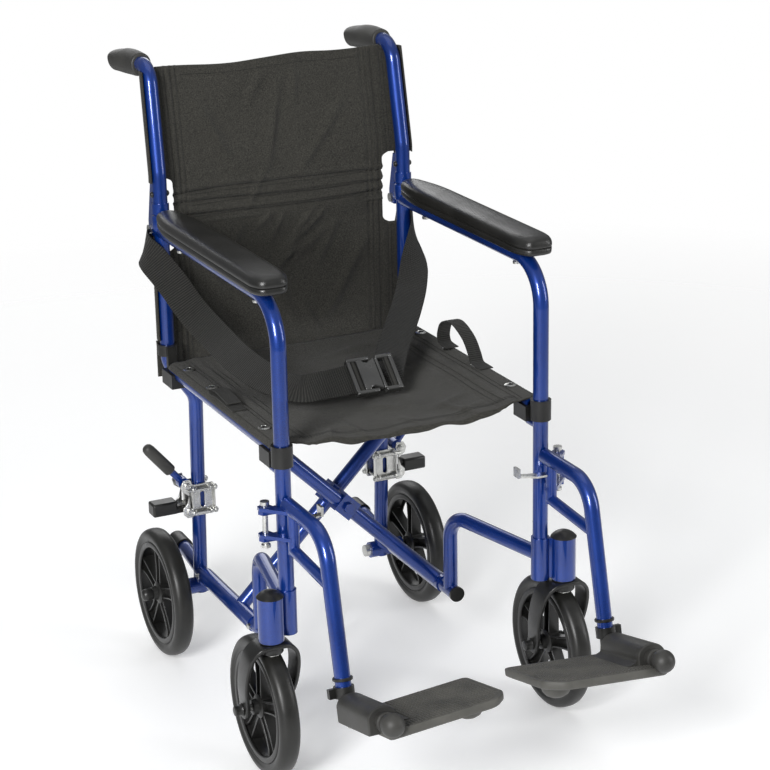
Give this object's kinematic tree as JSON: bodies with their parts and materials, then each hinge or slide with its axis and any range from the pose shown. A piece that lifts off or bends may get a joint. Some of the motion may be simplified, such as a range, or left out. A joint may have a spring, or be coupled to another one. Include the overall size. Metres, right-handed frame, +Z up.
{
  "type": "transport wheelchair",
  "caption": "Folding transport wheelchair with a sling seat and back, swing-away footrests, casters and wheel locks.",
  "frame": {"origin": "on the floor under the middle of the chair's box", "axes": "+Z up, -Y the way the sitter faces, +X to the sitter's left"},
  "size_m": [0.544, 0.9641, 0.946],
  "materials": {
    "blue_paint": "gloss metallic blue paint on aluminium tube",
    "black_plastic": "satin moulded black plastic",
    "arm_pad_skin": "satin self-skinned foam",
    "tyre_rubber": "matt solid rubber",
    "grip_rubber": "satin ribbed rubber",
    "sling_fabric": "coated woven nylon",
    "belt_webbing": "ribbed woven webbing",
    "buckle_plastic": "gloss moulded plastic",
    "bright_steel": "zinc plated"
  },
  "bodies": {
    "frame_right": {"rear_post_right": "blue_paint", "armrest_tube_right": "blue_paint", "lower_rail_right": "blue_paint", "front_link_right": "blue_paint", "caster_housing_right": "blue_paint", "frame_plastics_right": "black_plastic", "arm_pad_right": "arm_pad_skin", "frame_hardware_right": "bright_steel", "brake_bracket_right": "bright_steel", "belt_strap_right": "belt_webbing", "back_sling_lower": "sling_fabric"},
    "frame_left": {"rear_post_left": "blue_paint", "armrest_tube_left": "blue_paint", "lower_rail_left": "blue_paint", "front_link_left": "blue_paint", "caster_housing_left": "blue_paint", "frame_plastics_left": "black_plastic", "arm_pad_left": "arm_pad_skin", "frame_hardware_left": "bright_steel", "brake_bracket_left": "bright_steel", "belt_strap_left": "belt_webbing"},
    "brake_lever_right": {"brake_lever_right": "blue_paint", "brake_grip_right": "grip_rubber"},
    "brake_shoe_right": {"brake_shoe_right": "black_plastic"},
    "back_right": {"cane_right": "blue_paint", "grip_right": "grip_rubber", "back_sling_upper": "sling_fabric"},
    "release_right": {"back_release_right": "black_plastic"},
    "rear_wheel_right": {"rear_right_tyre": "tyre_rubber", "rear_right_wheel": "black_plastic"},
    "caster_right": {"fork_right": "black_plastic"},
    "front_wheel_right": {"front_right_tyre": "tyre_rubber", "front_right_wheel": "black_plastic"},
    "hanger_right": {"hanger_right": "blue_paint", "hanger_clamp_right": "black_plastic"},
    "latch_right": {"hanger_latch_right": "bright_steel"},
    "legrest_right": {"legrest_right": "black_plastic"},
    "footplate_right": {"footplate_right": "black_plastic"},
    "brake_lever_left": {"brake_lever_left": "blue_paint", "brake_grip_left": "grip_rubber"},
    "brake_shoe_left": {"brake_shoe_left": "black_plastic"},
    "back_left": {"cane_left": "blue_paint", "grip_left": "grip_rubber"},
    "release_left": {"back_release_left": "black_plastic"},
    "rear_wheel_left": {"rear_left_tyre": "tyre_rubber", "rear_left_wheel": "black_plastic"},
    "caster_left": {"fork_left": "black_plastic"},
    "front_wheel_left": {"front_left_tyre": "tyre_rubber", "front_left_wheel": "black_plastic"},
    "hanger_left": {"hanger_left": "blue_paint", "hanger_clamp_left": "black_plastic"},
    "latch_left": {"hanger_latch_left": "bright_steel"},
    "legrest_left": {"legrest_left": "black_plastic"},
    "footplate_left": {"footplate_left": "black_plastic"},
    "cross_rear": {"cross_rear": "blue_paint", "seat_sling_left": "sling_fabric"},
    "cross_front": {"cross_front": "blue_paint", "seat_sling_right": "sling_fabric"},
    "lap_belt": {"buckle_body": "buckle_plastic"},
    "buckle_tongue": {"buckle_tongue": "buckle_plastic"}
  },
  "joints": [
    {"name": "fold", "type": "hinge", "parent": "frame_right", "child": "cross_rear", "pos_m": [-0.158, 0.14, 0.126], "axis": [0, -1, 0], "range_deg": [0, 34], "deforming": ["seat_sling_left", "seat_sling_right", "back_sling_upper", "back_sling_lower", "belt_strap_left", "belt_strap_right"]},
    {"name": "cross_pivot", "type": "hinge", "parent": "cross_rear", "child": "cross_front", "pos_m": [0, 0.14, 0.28223], "axis": [0, -1, 0], "range_deg": [-68, 0]},
    {"name": "left_rail_pivot", "type": "hinge", "parent": "cross_front", "child": "frame_left", "pos_m": [0.158, 0.14, 0.126], "axis": [0, -1, 0], "range_deg": [0, 34]},
    {"name": "belt_follow", "type": "hinge", "parent": "cross_rear", "child": "lap_belt", "pos_m": [0, 0.14, 0.28223], "axis": [0, -1, 0], "range_deg": [-34, 0]},
    {"name": "buckle_release", "type": "slide", "parent": "lap_belt", "child": "buckle_tongue", "axis": [1, 0, 0], "range_m": [0, 0.03]},
    {"name": "back_fold_right", "type": "hinge", "parent": "frame_right", "child": "back_right", "pos_m": [-0.2, 0.334, 0.688], "axis": [-1, 0, 0], "range_deg": [0, 135]},
    {"name": "back_release_right", "type": "hinge", "parent": "back_right", "child": "release_right", "pos_m": [-0.2, 0.327, 0.731], "axis": [-1, 0, 0], "range_deg": [0, 14], "stiffness_Nm_per_rad": 0.3},
    {"name": "caster_swivel_right", "type": "hinge", "parent": "frame_right", "child": "caster_right", "pos_m": [-0.231, -0.144, 0.1016], "axis": [0, 0, 1], "continuous": true},
    {"name": "front_wheel_spin_right", "type": "hinge", "parent": "caster_right", "child": "front_wheel_right", "pos_m": [-0.231, -0.109, 0.1016], "axis": [1, 0, 0], "continuous": true},
    {"name": "rear_wheel_spin_right", "type": "hinge", "parent": "frame_right", "child": "rear_wheel_right", "pos_m": [-0.22, 0.33, 0.1016], "axis": [1, 0, 0], "continuous": true},
    {"name": "hanger_swing_right", "type": "hinge", "parent": "frame_right", "child": "hanger_right", "pos_m": [-0.228, -0.13, 0.38], "axis": [0, 0, -1], "range_deg": [0, 90]},
    {"name": "hanger_latch_right", "type": "hinge", "parent": "hanger_right", "child": "latch_right", "pos_m": [-0.2, -0.162, 0.388], "axis": [0, 0, 1], "range_deg": [0, 16], "stiffness_Nm_per_rad": 0.2},
    {"name": "legrest_slide_right", "type": "slide", "parent": "hanger_right", "child": "legrest_right", "axis": [0, -0.2382, -0.9712], "range_m": [0, 0.04]},
    {"name": "footplate_flip_right", "type": "hinge", "parent": "legrest_right", "child": "footplate_right", "pos_m": [-0.2, -0.32136, 0.18835], "axis": [0, -0.9712, 0.2382], "range_deg": [0, 88.5]},
    {"name": "wheel_lock_right", "type": "hinge", "parent": "frame_right", "child": "brake_lever_right", "pos_m": [-0.183, 0.3205, 0.282], "axis": [0, -1, 0], "range_deg": [0, 34]},
    {"name": "brake_shoe_right", "type": "hinge", "parent": "frame_right", "child": "brake_shoe_right", "pos_m": [-0.18, 0.3205, 0.24], "axis": [0, -1, 0], "range_deg": [0, 34.01]},
    {"name": "back_fold_left", "type": "hinge", "parent": "frame_left", "child": "back_left", "pos_m": [0.2, 0.334, 0.688], "axis": [-1, 0, 0], "range_deg": [0, 135]},
    {"name": "back_release_left", "type": "hinge", "parent": "back_left", "child": "release_left", "pos_m": [0.2, 0.327, 0.731], "axis": [-1, 0, 0], "range_deg": [0, 14], "stiffness_Nm_per_rad": 0.3},
    {"name": "caster_swivel_left", "type": "hinge", "parent": "frame_left", "child": "caster_left", "pos_m": [0.231, -0.144, 0.1016], "axis": [0, 0, 1], "continuous": true},
    {"name": "front_wheel_spin_left", "type": "hinge", "parent": "caster_left", "child": "front_wheel_left", "pos_m": [0.231, -0.109, 0.1016], "axis": [1, 0, 0], "continuous": true},
    {"name": "rear_wheel_spin_left", "type": "hinge", "parent": "frame_left", "child": "rear_wheel_left", "pos_m": [0.22, 0.33, 0.1016], "axis": [1, 0, 0], "continuous": true},
    {"name": "hanger_swing_left", "type": "hinge", "parent": "frame_left", "child": "hanger_left", "pos_m": [0.228, -0.13, 0.38], "axis": [0, 0, 1], "range_deg": [0, 90]},
    {"name": "hanger_latch_left", "type": "hinge", "parent": "hanger_left", "child": "latch_left", "pos_m": [0.2, -0.162, 0.388], "axis": [0, 0, -1], "range_deg": [0, 16], "stiffness_Nm_per_rad": 0.2},
    {"name": "legrest_slide_left", "type": "slide", "parent": "hanger_left", "child": "legrest_left", "axis": [0, -0.2382, -0.9712], "range_m": [0, 0.04]},
    {"name": "footplate_flip_left", "type": "hinge", "parent": "legrest_left", "child": "footplate_left", "pos_m": [0.2, -0.32136, 0.18835], "axis": [0, 0.9712, -0.2382], "range_deg": [0, 88.5]},
    {"name": "wheel_lock_left", "type": "hinge", "parent": "frame_left", "child": "brake_lever_left", "pos_m": [0.183, 0.3205, 0.282], "axis": [0, 1, 0], "range_deg": [0, 34]},
    {"name": "brake_shoe_left", "type": "hinge", "parent": "frame_left", "child": "brake_shoe_left", "pos_m": [0.18, 0.3205, 0.24], "axis": [0, 1, 0], "range_deg": [0, 34.01]}
  ],
  "couplings": [
    {"joint": "cross_pivot", "follows": "fold", "ratio": -2},
    {"joint": "left_rail_pivot", "follows": "fold", "ratio": 1},
    {"joint": "belt_follow", "follows": "fold", "ratio": -1},
    {"joint": "footplate_flip_right", "follows": "fold", "ratio": 2.5882},
    {"joint": "brake_shoe_right", "follows": "wheel_lock_right", "ratio": 0.98559},
    {"joint": "footplate_flip_left", "follows": "fold", "ratio": 2.5882},
    {"joint": "brake_shoe_left", "follows": "wheel_lock_left", "ratio": 0.98559},
    {"joint": "back_fold_left", "follows": "back_fold_right", "ratio": 1}
  ]
}
